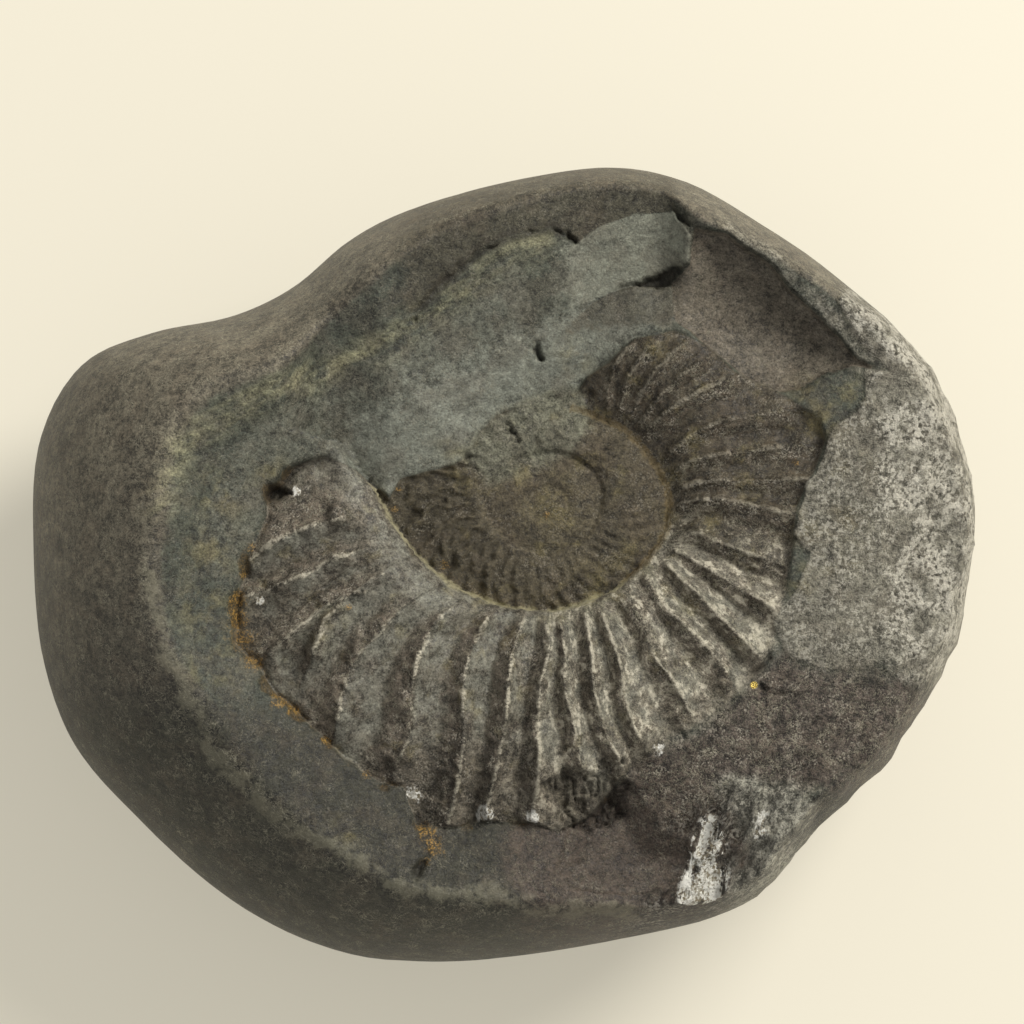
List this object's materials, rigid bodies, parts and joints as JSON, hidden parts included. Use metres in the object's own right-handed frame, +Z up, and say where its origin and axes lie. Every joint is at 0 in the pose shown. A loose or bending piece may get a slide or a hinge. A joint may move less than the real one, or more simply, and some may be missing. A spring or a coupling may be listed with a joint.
{
  "type": "ammonite fossil",
  "caption": "River-worn dark stone nodule, broken open on top to show a coiled, ribbed ammonite; a single solid that rests on a small flat face.",
  "frame": {"origin": "under the middle of the stone, on the small flat face that it rests on", "axes": "+Z up, through the fossil side; X along the stone's longest side; Y across it"},
  "size_m": [0.0854, 0.0719, 0.0378],
  "materials": {
    "dark_stone": "matt, worn dark limestone"
  },
  "bodies": {
    "root": {"ammonite_stone": "dark_stone"}
  },
  "joints": []
}
